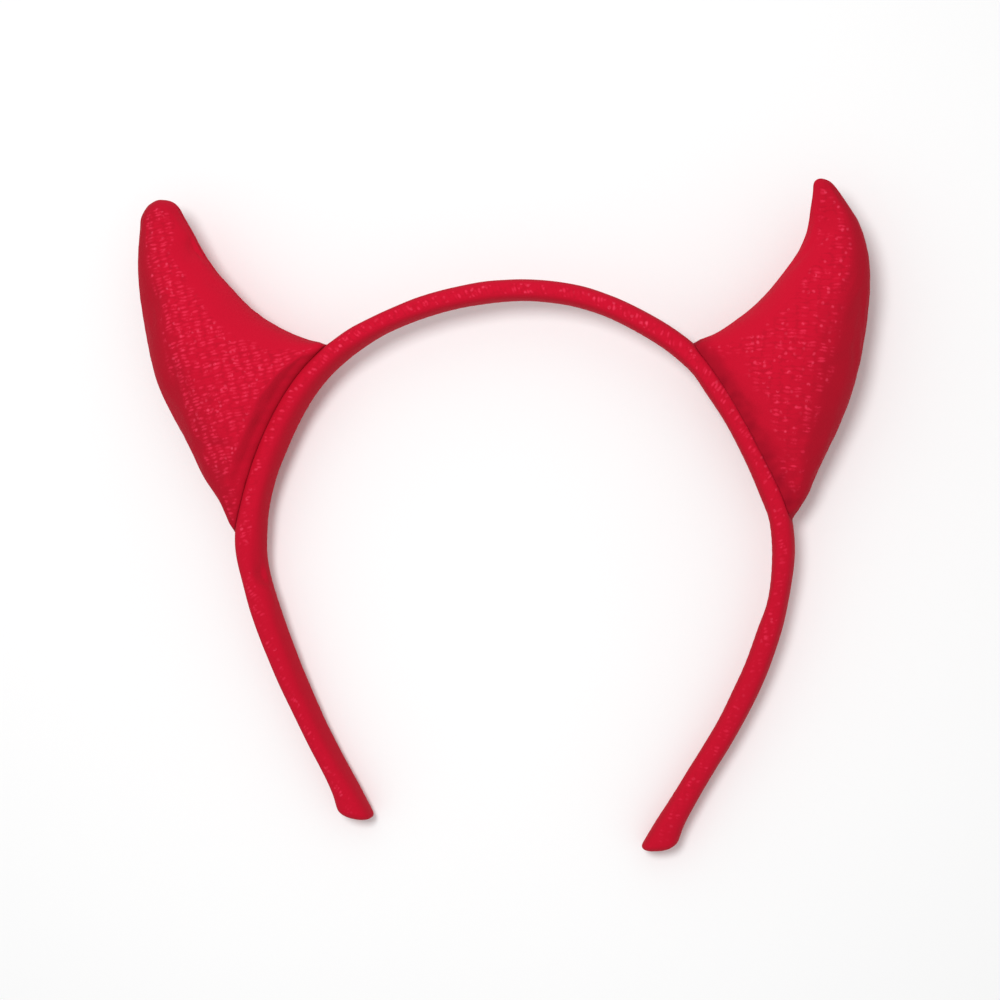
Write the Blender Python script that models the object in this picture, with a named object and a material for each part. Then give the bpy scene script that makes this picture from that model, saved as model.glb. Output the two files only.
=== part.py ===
"""Devil horns headband: a springy hoop in a padded cloth sleeve, with two stuffed cloth horns.

Everything is drawn first in the hoop's own plane. There, across runs to the right, up runs from
the leg ends to the crown, and front is the side that faces the viewer. The headband is then laid
on its back, so that the horns' bellies and the two leg ends rest on the floor.
"""

import math
from collections import namedtuple

import bmesh
import bpy
import numpy as np

COLLECTION_NAME = "devil_horns_headband"

# Sizes of the hoop, in metres
HOOP_HALF_WIDTH = 0.0694
HOOP_HEIGHT = 0.1436
BAND_THICKNESS = 0.0054
BAND_DEPTH = 0.0100
END_DOME = 0.0026
END_SLANT_DEG = 32.0
END_SLANT_LENGTH = 0.009

# Sizes of the horns, in metres
HORN_LENGTH = 0.0700
HORN_WIDTH = 0.0500
HORN_BELLY = 0.0240
BASE_WRAP_DEG = 58.0
RIM_THICKNESS = 0.36  # the base's rim, as a share of HORN_BELLY
BOW_REACH = 0.7  # how far up the horn its sections still bow round the hoop, as a share of its length
SEAT_CLEARANCE = 0.0003

# How far the soft cloth flattens where the headband lies on the floor
SETTLE_DEPTH = 0.0005

# Roundness of the sleeve's section: 2 is an ellipse, and more is closer to a rectangle
SECTION_POWER = 2.6

# Fineness of the solids
BAND_STATIONS = 84
BAND_SIDES = 18
END_RINGS = 4
HORN_RINGS = 17
HORN_SIDES = 30
HORN_TIP_RINGS = 4
SEAT_STRIPS = 6
RING_CROWDING = 1.35
CURVE_SAMPLES = 800

# The hoop's sections from the left leg's end over the crown to the right leg's end.
# across is a share of HOOP_HALF_WIDTH, up of HOOP_HEIGHT, thick of BAND_THICKNESS and deep of
# BAND_DEPTH. turn is how far the sleeve is twisted, in degrees, to show its inner side in front.
BandRow = namedtuple("BandRow", "across up thick deep turn")
BAND_ROWS = (
    BandRow(-0.599, 0.054, 1.46, 1.00, 8),
    BandRow(-0.642, 0.097, 1.06, 0.98, 13),
    BandRow(-0.735, 0.181, 0.88, 0.98, 16),
    BandRow(-0.843, 0.290, 1.00, 1.00, 16),
    BandRow(-0.935, 0.400, 1.16, 1.00, 15),
    BandRow(-0.983, 0.474, 1.22, 1.02, 10),
    BandRow(-1.006, 0.538, 1.48, 1.04, 7),
    BandRow(-0.983, 0.627, 1.31, 1.04, 9),
    BandRow(-0.900, 0.743, 1.18, 1.02, 13),
    BandRow(-0.765, 0.848, 1.15, 1.00, 10),
    BandRow(-0.631, 0.904, 1.08, 1.00, 6),
    BandRow(-0.454, 0.950, 0.97, 1.00, 2),
    BandRow(-0.237, 0.984, 1.05, 1.00, 0),
    BandRow(0.021, 0.999, 1.06, 1.00, 0),
    BandRow(0.265, 0.984, 1.04, 1.00, 0),
    BandRow(0.479, 0.940, 1.07, 1.00, 0),
    BandRow(0.677, 0.872, 1.14, 1.00, 0),
    BandRow(0.816, 0.782, 1.17, 1.02, 0),
    BandRow(0.923, 0.682, 1.17, 1.04, 0),
    BandRow(0.990, 0.600, 1.24, 1.04, -2),
    BandRow(1.004, 0.529, 1.09, 1.02, -5),
    BandRow(0.987, 0.449, 1.00, 1.00, -6),
    BandRow(0.926, 0.347, 1.10, 1.00, -6),
    BandRow(0.806, 0.220, 1.07, 0.98, -5),
    BandRow(0.681, 0.119, 1.06, 0.98, -4),
    BandRow(0.594, 0.047, 1.23, 1.00, -2),
    BandRow(0.553, 0.010, 1.50, 1.00, 0),
)

# Dents and folds of the sleeve. place is a share of the hoop's length, side the angle round the
# sleeve from its outer edge over the front, along a half length in metres, around a half angle in
# degrees, and deep the depth in metres. A negative depth is a raised fold.
Dent = namedtuple("Dent", "place side along around deep")
BAND_DENTS = (
    Dent(0.186, 138, 0.0055, 42, 0.0010),
    Dent(0.163, 168, 0.0040, 30, -0.0006),
    Dent(0.344, 178, 0.0018, 36, 0.0005),
    Dent(0.237, 172, 0.0030, 40, 0.0004),
    Dent(0.637, 178, 0.0024, 40, 0.0004),
    Dent(0.758, 182, 0.0030, 40, 0.0004),
    Dent(0.757, 12, 0.0030, 36, 0.0006),
)

# Each horn's sections above its base, up to the start of its rounded tip. The frame starts at the
# middle of the base: along runs beside the base towards the crown and out away from the hoop, both
# shares of HORN_LENGTH. wide is a share of HORN_WIDTH and thick of HORN_BELLY, and lean is how far
# the section turns from the base as the horn bends up, in degrees.
HornRow = namedtuple("HornRow", "along out wide lean thick")
LEFT_HORN_ROWS = (
    HornRow(0.016, 0.030, 1.07, 3, 0.74),
    HornRow(0.036, 0.074, 1.00, 6, 0.86),
    HornRow(0.049, 0.142, 0.93, 8, 0.93),
    HornRow(0.087, 0.245, 0.81, 11, 0.99),
    HornRow(0.133, 0.354, 0.71, 17, 1.00),
    HornRow(0.179, 0.446, 0.64, 22, 0.97),
    HornRow(0.240, 0.528, 0.56, 25, 0.89),
    HornRow(0.304, 0.606, 0.47, 30, 0.78),
    HornRow(0.380, 0.686, 0.39, 36, 0.66),
    HornRow(0.458, 0.749, 0.32, 42, 0.55),
    HornRow(0.519, 0.796, 0.24, 47, 0.44),
)
RIGHT_HORN_ROWS = (
    HornRow(0.012, 0.028, 1.01, 1, 0.52),
    HornRow(0.019, 0.071, 0.97, 2, 0.68),
    HornRow(0.043, 0.122, 0.90, 3, 0.84),
    HornRow(0.084, 0.212, 0.81, 6, 0.99),
    HornRow(0.124, 0.294, 0.73, 9, 1.05),
    HornRow(0.175, 0.372, 0.65, 14, 1.03),
    HornRow(0.238, 0.451, 0.56, 19, 0.94),
    HornRow(0.311, 0.526, 0.46, 28, 0.80),
    HornRow(0.388, 0.595, 0.37, 39, 0.66),
    HornRow(0.475, 0.644, 0.29, 47, 0.52),
    HornRow(0.554, 0.668, 0.22, 52, 0.41),
    HornRow(0.615, 0.678, 0.13, 55, 0.26),
)

# Where each horn sits: seat is the middle of its base as a share of the hoop's length, span the
# base's length as a share of HORN_WIDTH, tip the length of the rounded tip past the last row as a
# share of HORN_LENGTH, and towards_crown the way along the hoop from its foot to its top.
Horn = namedtuple("Horn", "name seat span tip towards_crown rows")
HORNS = (
    Horn("horn_left", 0.2840, 1.11, 0.090, 1, LEFT_HORN_ROWS),
    Horn("horn_right", 0.6914, 1.02, 0.052, -1, RIGHT_HORN_ROWS),
)

SleeveFinish = namedtuple("SleeveFinish", "name colour roughness metallic")
BAND_FINISH = SleeveFinish("band_velour", (0.56, 0.010, 0.030, 1.0), 0.72, 0.0)
HORN_FINISH = SleeveFinish("horn_velour", (0.60, 0.012, 0.034, 1.0), 0.70, 0.0)


def smooth_through(rows, lengths):
    """Every column on one smooth curve through the rows, evenly along it, and the curve's length."""
    table = np.array(rows, float)
    steps = np.diff(table[:, :2], axis=0) * lengths
    knots = np.concatenate(([0.0], np.cumsum(np.hypot(steps[:, 0], steps[:, 1]))))
    slopes = np.gradient(table, knots, axis=0)
    fine = np.linspace(0.0, knots[-1], CURVE_SAMPLES)
    first = np.clip(np.searchsorted(knots, fine, side="right") - 1, 0, len(knots) - 2)
    gap = (knots[first + 1] - knots[first])[:, None]
    x = (fine - knots[first])[:, None] / gap
    curve = (2 * x**3 - 3 * x**2 + 1) * table[first] + (x**3 - 2 * x**2 + x) * gap * slopes[first]
    curve += (3 * x**2 - 2 * x**3) * table[first + 1] + (x**3 - x**2) * gap * slopes[first + 1]
    run = np.diff(curve[:, :2], axis=0) * lengths
    travelled = np.concatenate(([0.0], np.cumsum(np.hypot(run[:, 0], run[:, 1]))))
    even = np.linspace(0.0, travelled[-1], CURVE_SAMPLES)
    return np.column_stack([np.interp(even, travelled, column) for column in curve.T]), travelled[-1]


def read_at(place, curve):
    """The columns of an evenly spaced curve at a share of its length."""
    shares = np.linspace(0.0, 1.0, len(curve))
    return [np.interp(place, shares, column) for column in curve.T]


BAND_CURVE, BAND_LENGTH = smooth_through(BAND_ROWS, (HOOP_HALF_WIDTH, HOOP_HEIGHT))
BAND_DIRECTIONS = np.gradient(BAND_CURVE[:, :2] * (HOOP_HALF_WIDTH, HOOP_HEIGHT), axis=0)


def band_frame(place):
    """The sleeve's centre, its direction, its outward direction and its row at a share of its length."""
    row = BandRow(*read_at(place, BAND_CURVE))
    along = np.array(read_at(place, BAND_DIRECTIONS))
    along /= np.hypot(*along)
    centre = np.array([row.across * HOOP_HALF_WIDTH, row.up * HOOP_HEIGHT])
    return centre, along, np.array([-along[1], along[0]]), row


def rounded(value):
    """A cosine or sine, bent to the sleeve's section."""
    return math.copysign(abs(value) ** (2 / SECTION_POWER), value)


def dent_depth(place, angle):
    """How far the sleeve is pressed in there, in metres."""
    depth = 0.0
    for dent in BAND_DENTS:
        along = (place - dent.place) * BAND_LENGTH / dent.along
        turned = (math.degrees(angle) - dent.side + 180) % 360 - 180
        depth += dent.deep * math.exp(-along**2 - (turned / dent.around) ** 2)
    return depth


def band_point(place, angle, offset=0.0, past=0.0, scale=1.0):
    """A point of the sleeve: angle 0 is its outer edge, 90 degrees its front and 180 its inner edge.

    offset moves it off the surface, past moves it along the hoop beyond its end, and scale draws
    the section in towards its middle.
    """
    centre, along, outward, row = band_frame(place)
    offset -= dent_depth(place, angle)
    thick = (row.thick * BAND_THICKNESS / 2 + offset) * rounded(math.cos(angle)) * scale
    deep = (row.deep * BAND_DEPTH / 2 + offset) * rounded(math.sin(angle)) * scale
    turn = math.radians(row.turn)
    out = thick * math.cos(turn) + deep * math.sin(turn)
    front = deep * math.cos(turn) - thick * math.sin(turn)
    end_gap = min(place, 1 - place) * BAND_LENGTH
    fade = max(0.0, 1 - end_gap / END_SLANT_LENGTH) ** 2
    towards_end = -1 if place < 0.5 else 1
    slide = towards_end * (past - fade * out * math.tan(math.radians(END_SLANT_DEG)))
    flat = centre + outward * out + along * slide
    return np.array([flat[0], flat[1], front])


def circle_angles(count):
    """Evenly spaced angles once round."""
    return [2 * math.pi * step / count for step in range(count)]


def band_rings():
    """The sleeve's rings of points from the left end to the right end, with both ends domed."""
    angles = circle_angles(BAND_SIDES)
    rings = []
    for place in np.linspace(0.0, 1.0, BAND_STATIONS):
        rings.append([band_point(place, angle) for angle in angles])
    for step in range(1, END_RINGS + 1):
        lift = math.radians(90 * step / (END_RINGS + 0.4))
        scale = math.cos(lift) ** 0.7
        past = END_DOME * math.sin(lift)
        rings.insert(0, [band_point(0.0, angle, past=past, scale=scale) for angle in angles])
        rings.append([band_point(1.0, angle, past=past, scale=scale) for angle in angles])
    return rings


def seat_angle(turn):
    """How far round the sleeve the horn's base reaches, at an angle round the base's rim."""
    wrap = abs(math.sin(turn)) ** 0.6
    return math.copysign(math.radians(BASE_WRAP_DEG) * wrap, math.sin(turn))


def seat_place(horn, cosine):
    """A place along the horn's base, as a share of the hoop's length: 1 is its top, -1 its foot."""
    return horn.seat + horn.towards_crown * cosine * horn.span * HORN_WIDTH / BAND_LENGTH / 2


def seat_point(horn, turn, side):
    """A point of the horn's underside, held off the sleeve by the seat's clearance."""
    return band_point(seat_place(horn, math.cos(turn)), side, offset=SEAT_CLEARANCE)


def base_frame(horn):
    """The middle of the base's chord, its length, its direction and the direction away from the hoop."""
    foot = seat_point(horn, math.pi, 0.0)
    top = seat_point(horn, 0.0, 0.0)
    length = np.linalg.norm(top - foot)
    beside = (top - foot) / length
    outward = horn.towards_crown * np.array([-beside[1], beside[0], 0.0])
    return (foot + top) / 2, length, beside, outward


def section_point(frame, row, turn):
    """A point of an oval section: turn 0 is on the crown's side, 90 degrees in front."""
    middle, _, beside, outward = frame
    lean = math.radians(row.lean)
    chord = beside * math.cos(lean) - outward * math.sin(lean)
    spine = middle + HORN_LENGTH * (row.along * beside + row.out * outward)
    point = spine + chord * row.wide * HORN_WIDTH / 2 * math.cos(turn)
    point[2] += row.thick * HORN_BELLY / 2 * math.sin(turn)
    return point


def horn_rings(horn):
    """The horn's rings of points from the rim of its base to its tip."""
    frame = base_frame(horn)
    base = HornRow(0.0, 0.0, frame[1] / HORN_WIDTH, 0, RIM_THICKNESS)
    curve, _ = smooth_through((base, *horn.rows), (HORN_LENGTH, HORN_LENGTH))
    turns = circle_angles(HORN_SIDES)
    rim = [seat_point(horn, turn, seat_angle(turn)) for turn in turns]
    bows = [point - section_point(frame, base, turn) for point, turn in zip(rim, turns)]
    rings = []
    for step in range(HORN_RINGS + 1):
        place = (step / HORN_RINGS) ** RING_CROWDING
        row = HornRow(*read_at(place, curve))
        fade = max(0.0, 1 - place / BOW_REACH) ** 2
        rings.append([section_point(frame, row, turn) + fade * bow for turn, bow in zip(turns, bows)])
    last = np.array(rings[-1])
    middle = last.mean(axis=0)
    heading = middle - np.array(rings[-2]).mean(axis=0)
    heading /= np.linalg.norm(heading)
    for step in range(1, HORN_TIP_RINGS + 1):
        lift = math.radians(90 * step / (HORN_TIP_RINGS + 0.3))
        past = heading * horn.tip * HORN_LENGTH * math.sin(lift)
        rings.append([middle + past + (point - middle) * math.cos(lift) for point in last])
    return rings


def add_ring(mesh, points):
    """The vertices of one ring."""
    return [mesh.verts.new(point) for point in points]


def join_rings(mesh, rings):
    """Quads between each ring and the next."""
    for ring, following in zip(rings, rings[1:]):
        for step in range(len(ring)):
            after = (step + 1) % len(ring)
            mesh.faces.new((ring[step], ring[after], following[after], following[step]))


def band_mesh():
    """The sleeve as one closed loft."""
    mesh = bmesh.new()
    rings = [add_ring(mesh, points) for points in band_rings()]
    join_rings(mesh, rings)
    mesh.faces.new(rings[0])
    mesh.faces.new(rings[-1])
    return mesh


def close_seat(mesh, horn, rim):
    """The horn's underside, a saddle of strips across the sleeve from the front rim to the back."""
    half = len(rim) // 2
    columns = []
    for step in range(half + 1):
        turn = 2 * math.pi * step / len(rim)
        column = [rim[step]]
        if 0 < step < half:
            for strip in range(1, SEAT_STRIPS):
                side = seat_angle(turn) * (1 - 2 * strip / SEAT_STRIPS)
                column.append(mesh.verts.new(seat_point(horn, turn, side)))
            column.append(rim[-step])
        columns.append(column)
    for column, following in zip(columns, columns[1:]):
        for strip in range(SEAT_STRIPS):
            corners = [column[min(strip, len(column) - 1)], column[min(strip + 1, len(column) - 1)]]
            corners.append(following[min(strip + 1, len(following) - 1)])
            corners.append(following[min(strip, len(following) - 1)])
            mesh.faces.new(list(dict.fromkeys(corners)))


def horn_mesh(horn):
    """A horn as one closed loft on its saddle."""
    mesh = bmesh.new()
    rings = [add_ring(mesh, points) for points in horn_rings(horn)]
    join_rings(mesh, rings)
    mesh.faces.new(rings[-1])
    close_seat(mesh, horn, rings[0])
    return mesh


def lowest(points, tilt):
    """The lowest height of the points once the hoop's plane is tilted."""
    return (points[:, 2] * math.cos(tilt) + points[:, 1] * math.sin(tilt)).min()


def resting_tilt(band_points, horn_points):
    """The tilt at which the horns' bellies and the leg ends lie equally low."""
    low, high = 0.0, math.radians(30)
    for _ in range(50):
        tilt = (low + high) / 2
        if lowest(horn_points, tilt) < lowest(band_points, tilt):
            low = tilt
        else:
            high = tilt
    return (low + high) / 2


def vertex_points(meshes):
    """The vertices of the meshes as one array."""
    return np.array([vertex.co for mesh in meshes for vertex in mesh.verts])


def lay_down(meshes, tilt, drop):
    """Tilts the meshes on to the floor, and flattens the cloth that would reach below it."""
    for mesh in meshes:
        for vertex in mesh.verts:
            across, up, front = vertex.co
            height = front * math.cos(tilt) + up * math.sin(tilt) - drop
            vertex.co = (across, up * math.cos(tilt) - front * math.sin(tilt), max(height, 0.0))


def centre_on_origin(meshes):
    """Moves the meshes so that the origin is below the middle of them all."""
    points = vertex_points(meshes)
    middle = (points.min(axis=0) + points.max(axis=0)) / 2
    for mesh in meshes:
        for vertex in mesh.verts:
            vertex.co.x -= middle[0]
            vertex.co.y -= middle[1]


def finish_material(finish):
    """A Principled material of the finish's colour and roughness."""
    material = bpy.data.materials.new(finish.name)
    material.use_nodes = True
    shader = material.node_tree.nodes["Principled BSDF"]
    shader.inputs["Base Color"].default_value = finish.colour
    shader.inputs["Roughness"].default_value = finish.roughness
    shader.inputs["Metallic"].default_value = finish.metallic
    return material


def add_object(name, mesh, finish, collection):
    """One named, smooth object made from the mesh."""
    bmesh.ops.recalc_face_normals(mesh, faces=mesh.faces)
    data = bpy.data.meshes.new(name)
    mesh.to_mesh(data)
    mesh.free()
    data.shade_smooth()
    data.materials.append(finish_material(finish))
    collection.objects.link(bpy.data.objects.new(name, data))


def main():
    for old in list(bpy.data.objects):
        bpy.data.objects.remove(old)
    collection = bpy.data.collections.new(COLLECTION_NAME)
    bpy.context.scene.collection.children.link(collection)
    band = band_mesh()
    horns = [horn_mesh(horn) for horn in HORNS]
    meshes = [band, *horns]
    tilt = resting_tilt(vertex_points([band]), vertex_points(horns))
    drop = lowest(vertex_points(meshes), tilt) + SETTLE_DEPTH
    lay_down(meshes, tilt, drop)
    centre_on_origin(meshes)
    add_object("band", band, BAND_FINISH, collection)
    for horn, mesh in zip(HORNS, horns):
        add_object(horn.name, mesh, HORN_FINISH, collection)


main()
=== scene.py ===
"""Looks of a devil horns headband: crimson stretch velour over a padded hoop and two stuffed horns.

The headband lies on its back on a pale floor. Its three sewn pieces stand for the frame's plain
solids: each starts as a copy of its solid, is filled out as stuffed cloth, and then gets its seams,
gathers, folds and rows of loops, with painted light and shade and painted glints. Sizes are in
metres unless a name says otherwise.
"""

import logging
import math
from dataclasses import dataclass, field
from enum import Enum

import bmesh
import bpy
import numpy as np
from mathutils import Matrix, Vector, noise
from mathutils.bvhtree import BVHTree


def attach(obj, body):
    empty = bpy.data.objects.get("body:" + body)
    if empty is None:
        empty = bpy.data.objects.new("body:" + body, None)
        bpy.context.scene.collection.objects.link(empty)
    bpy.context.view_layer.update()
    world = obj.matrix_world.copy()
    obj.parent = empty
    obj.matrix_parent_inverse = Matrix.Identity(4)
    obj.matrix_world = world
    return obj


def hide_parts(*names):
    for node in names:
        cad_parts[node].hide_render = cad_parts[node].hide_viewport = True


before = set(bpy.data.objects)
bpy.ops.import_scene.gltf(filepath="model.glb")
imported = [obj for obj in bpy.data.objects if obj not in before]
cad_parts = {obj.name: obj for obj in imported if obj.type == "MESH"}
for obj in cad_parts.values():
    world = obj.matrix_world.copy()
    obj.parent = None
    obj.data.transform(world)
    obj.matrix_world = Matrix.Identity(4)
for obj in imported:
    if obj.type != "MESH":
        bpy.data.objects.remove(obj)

LOG = logging.getLogger("headband")
MM = 0.001
MERGE_DISTANCE = 0.01 * MM
SEAT_REACH = 0.5 * MM  # a horn's underside is nearer than this to the band
MOST_TRIANGLES = 190_000  # in one piece
# A seam's dark line is painted shade.
SEAM_LINE = 0.28 * MM  # how far from a seam its dark line reaches
QUAD_BEND = math.radians(40)
QUAD_SKEW = math.radians(60)

Array = np.ndarray
Colour = tuple[float, float, float]
Value = bpy.types.NodeSocket | float
Tone = bpy.types.NodeSocket | Colour


class Solid(Enum):
    """The frame's solids, by the names of their nodes."""

    BAND = "band"
    HORN_LEFT = "horn_left"
    HORN_RIGHT = "horn_right"

    def merged(self) -> bmesh.types.BMesh:
        """Copies the solid's mesh, with its loose triangles joined up into quads.

        Returns:
            The copy, which the caller frees.
        """
        mesh = bmesh.new()
        mesh.from_mesh(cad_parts[self.value].data)
        bmesh.ops.remove_doubles(mesh, verts=mesh.verts, dist=MERGE_DISTANCE)
        bmesh.ops.join_triangles(
            mesh, faces=mesh.faces, angle_face_threshold=QUAD_BEND, angle_shape_threshold=QUAD_SKEW
        )
        return mesh

    def tree(self) -> BVHTree:
        """Makes a search tree of the solid's surface.

        Returns:
            The tree.
        """
        mesh = self.merged()
        made = BVHTree.FromBMesh(mesh)
        mesh.free()
        return made

    def points(self) -> Array:
        """The solid's vertices, one row each."""
        return points_of(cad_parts[self.value])


class Slot(Enum):
    """The record's material slots."""

    BAND = "band_velour"
    HORNS = "horn_velour"


class Mark(Enum):
    """Values painted on the vertices, which the velour's nodes read."""

    # Painted shade in seams, creases and the valleys where the pieces meet.
    CREASE = "crease_shade"
    # Painted light and shade, by how far the cloth faces the light.
    PAINTED_LIGHT = "painted_light"
    # Where the painted glints and the painted shade between the loops show.
    GLINT_ZONE = "glint_zone"


def points_of(obj: bpy.types.Object) -> Array:
    """Reads an object's vertices.

    Args:
        obj: The object.

    Returns:
        The vertices, one row each.
    """
    flat = np.empty(len(obj.data.vertices) * 3)
    obj.data.vertices.foreach_get("co", flat)
    return flat.reshape(-1, 3)


def normals_of(obj: bpy.types.Object) -> Array:
    """Reads an object's vertex normals.

    Args:
        obj: The object.

    Returns:
        The normals, one row each.
    """
    flat = np.empty(len(obj.data.vertices) * 3)
    obj.data.vertex_normals.foreach_get("vector", flat)
    return flat.reshape(-1, 3)


def tree_of(obj: bpy.types.Object) -> BVHTree:
    """Makes a search tree of an object's surface.

    Args:
        obj: The object.

    Returns:
        The tree.
    """
    mesh = bmesh.new()
    mesh.from_mesh(obj.data)
    made = BVHTree.FromBMesh(mesh)
    mesh.free()
    return made


def move_to(obj: bpy.types.Object, points: Array) -> None:
    """Puts the object's vertices at the points."""
    obj.data.vertices.foreach_set("co", points.ravel())
    obj.data.update()


def paint(obj: bpy.types.Object, mark: Mark, values: Array) -> None:
    """Stores one value a vertex under the mark's name."""
    layer = obj.data.attributes.new(mark.value, "FLOAT", "POINT")
    layer.data.foreach_set("value", values.astype(float))


def bump(distance: Array, reach: float) -> Array:
    """A smooth bell of the distance: 1 at nought, and little is left at twice the reach."""
    return np.exp(-((distance / reach) ** 2))


def ramp(values: Array, start: float, end: float) -> Array:
    """0 before the start, 1 after the end, and smooth between them."""
    share = np.clip((values - start) / (end - start), 0.0, 1.0)
    return share * share * (3 - 2 * share)


def rough(points: Array, size: float, shift: float = 0.0) -> Array:
    """Smooth noise from -1 to 1 at each point, with features of about the size."""
    offset = Vector((shift, shift, shift))
    return np.array([noise.noise(Vector(point) / size + offset) for point in points])


def seat_edges(horn: bmesh.types.BMesh) -> list[bmesh.types.BMEdge]:
    """Finds the edges round a horn's underside, where it meets the band.

    Args:
        horn: The horn's mesh.

    Returns:
        The edges, in no order.
    """
    band = Solid.BAND.tree()
    near = {vertex for vertex in horn.verts if band.find_nearest(vertex.co)[3] < SEAT_REACH}
    seat = {face for face in horn.faces if near.issuperset(face.verts)}
    return [edge for edge in horn.edges if sum(face in seat for face in edge.link_faces) == 1]


def gaps_to(points: Array, tree: BVHTree) -> Array:
    """The distance from each point to the tree's surface."""
    return np.array([tree.find_nearest(Vector(point))[3] for point in points])


def new_object(name: str, mesh: bmesh.types.BMesh) -> bpy.types.Object:
    """Makes an object from a bmesh, which is freed.

    Args:
        name: The object's name, which its mesh gets too.
        mesh: The bmesh.

    Returns:
        The object, smooth and linked to the scene.
    """
    data = bpy.data.meshes.new(name)
    mesh.to_mesh(data)
    mesh.free()
    data.shade_smooth()
    obj = bpy.data.objects.new(name, data)
    bpy.context.scene.collection.objects.link(obj)
    return obj


def apply_modifiers(obj: bpy.types.Object) -> None:
    """Replaces an object's mesh by the one that its modifiers make.

    Args:
        obj: The object.
    """
    graph = bpy.context.evaluated_depsgraph_get()
    made = bpy.data.meshes.new_from_object(obj.evaluated_get(graph))
    obj.modifiers.clear()
    old, obj.data = obj.data, made
    bpy.data.meshes.remove(old)
    obj.data.name = obj.name
    obj.data.shade_smooth()


def refine(obj: bpy.types.Object, levels: int) -> None:
    """Subdivides an object's mesh.

    Args:
        obj: The object.
        levels: How many times each edge is halved.
    """
    finer = obj.modifiers.new("finer", "SUBSURF")
    finer.levels = levels
    finer.render_levels = levels
    apply_modifiers(obj)


def triangles_in(obj: bpy.types.Object) -> int:
    """The number of triangles that the object's faces come to."""
    return sum(len(face.vertices) - 2 for face in obj.data.polygons)


def keep_light(obj: bpy.types.Object) -> None:
    """Joins up an object's faces if they come to too many triangles.

    Args:
        obj: The object.
    """
    count = triangles_in(obj)
    if count > MOST_TRIANGLES:
        fewer = obj.modifiers.new("fewer", "DECIMATE")
        fewer.ratio = MOST_TRIANGLES / count
        apply_modifiers(obj)


@dataclass(frozen=True)
class HoopPlane:
    """The plane that the hoop is bent in, as the headband lies.

    Attributes:
        middle: The plane's distance from the world's origin, along front.
        across: The direction to the wearer's side that shows on the right.
        up: The direction from the leg ends to the crown.
        front: The direction that faces the viewer.
    """

    middle: float
    across: Array
    up: Array
    front: Array

    @classmethod
    def of_the_band(cls) -> "HoopPlane":
        """Finds the plane that the band's solid lies closest to.

        Returns:
            The plane, with its front to the sky.
        """
        points = Solid.BAND.points()
        centre = points.mean(axis=0)
        front = np.linalg.svd(points - centre, full_matrices=False)[2][2]
        front *= np.sign(front[2])
        across = np.array([1.0, 0.0, 0.0]) - front * front[0]
        across /= np.linalg.norm(across)
        return cls(float(front @ centre), across, np.cross(front, across), front)

    def flat(self, points: Array) -> Array:
        """Turns world points into the plane's coordinates.

        Args:
            points: The points, one row each.

        Returns:
            The rows of across, up and front.
        """
        rows = points @ np.column_stack((self.across, self.up, self.front))
        rows[:, 2] -= self.middle
        return rows

    def place(self, across: float, up: float, front: float = 0.0) -> Vector:
        """The world point at the plane's coordinates."""
        return Vector(across * self.across + up * self.up + (front + self.middle) * self.front)


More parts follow.
